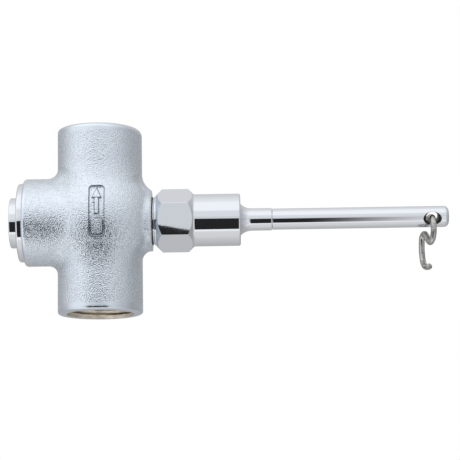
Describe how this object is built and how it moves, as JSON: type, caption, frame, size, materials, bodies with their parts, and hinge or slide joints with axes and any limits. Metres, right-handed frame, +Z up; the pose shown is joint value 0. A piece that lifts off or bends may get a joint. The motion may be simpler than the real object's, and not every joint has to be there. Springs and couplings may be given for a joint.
{
  "type": "self-closing pull-chain lever valve",
  "caption": "Spring-closed in-line valve: a cross-shaped chromed brass body with threaded ports, a hex lever housing and a tilting lever with a chain hook.",
  "frame": {"origin": "centre of the inlet (lower) port's mouth", "axes": "+Z up along the two ports, the way the water flows; +X along the lever towards its hook; the flow mark faces -Y"},
  "size_m": [0.1761, 0.0425, 0.075],
  "materials": {
    "rough_chrome": "satin chrome plate over a grainy casting",
    "bright_chrome": "polished chrome plate over turned brass",
    "brass": "machined, unplated",
    "stainless": "turned or drawn stainless",
    "wire_steel": "dull bent wire with drawing marks",
    "rubber": "moulded",
    "fibre": "pressed fibre",
    "nylon": "moulded"
  },
  "bodies": {
    "body": {"valve_body": "rough_chrome", "end_cap": "bright_chrome", "end_cap_gasket": "fibre", "closing_spring": "stainless", "seat_ring": "brass", "seat_gasket": "fibre", "plunger_guide": "brass", "guide_o_ring": "rubber", "guide_gasket": "fibre", "plunger_seal": "rubber", "seal_washer": "stainless", "seal_retainer": "brass", "return_spring": "stainless", "lever_housing": "bright_chrome", "housing_gasket": "fibre"},
    "poppet": {"poppet_stem": "stainless", "disc_holder": "brass", "seat_disc": "rubber", "disc_washer": "stainless", "disc_nut": "brass"},
    "plunger": {"plunger": "stainless", "thrust_cup": "brass", "cup_screw": "stainless"},
    "rocker": {"lever_washer": "nylon"},
    "lever": {"lever_hub": "bright_chrome", "lever_rod": "bright_chrome"},
    "hook": {"chain_hook": "wire_steel"}
  },
  "joints": [
    {"name": "lever_tilt", "type": "hinge", "parent": "body", "child": "rocker", "pos_m": [0.0542, 0, 0.0457], "axis": [0, 1, 0], "range_deg": [0, 20], "stiffness_Nm_per_rad": 1.4, "springref_deg": -20.05},
    {"name": "lever_spin", "type": "hinge", "parent": "rocker", "child": "lever", "pos_m": [0.06, 0, 0.0375], "axis": [1, 0, 0], "continuous": true},
    {"name": "hook_swing", "type": "hinge", "parent": "lever", "child": "hook", "pos_m": [0.1334, 0, 0.0375], "axis": [0, 1, 0], "range_deg": [-50, 25]},
    {"name": "plunger_slide", "type": "slide", "parent": "body", "child": "plunger", "axis": [-1, 0, 0], "range_m": [0, 0.0052], "deforming": ["return_spring"]},
    {"name": "poppet_slide", "type": "slide", "parent": "body", "child": "poppet", "axis": [-1, 0, 0], "range_m": [0, 0.0052], "deforming": ["closing_spring"]}
  ],
  "couplings": [
    {"joint": "plunger_slide", "follows": "lever_tilt", "m_per_rad": 0.0146},
    {"joint": "poppet_slide", "follows": "lever_tilt", "m_per_rad": 0.0146}
  ]
}
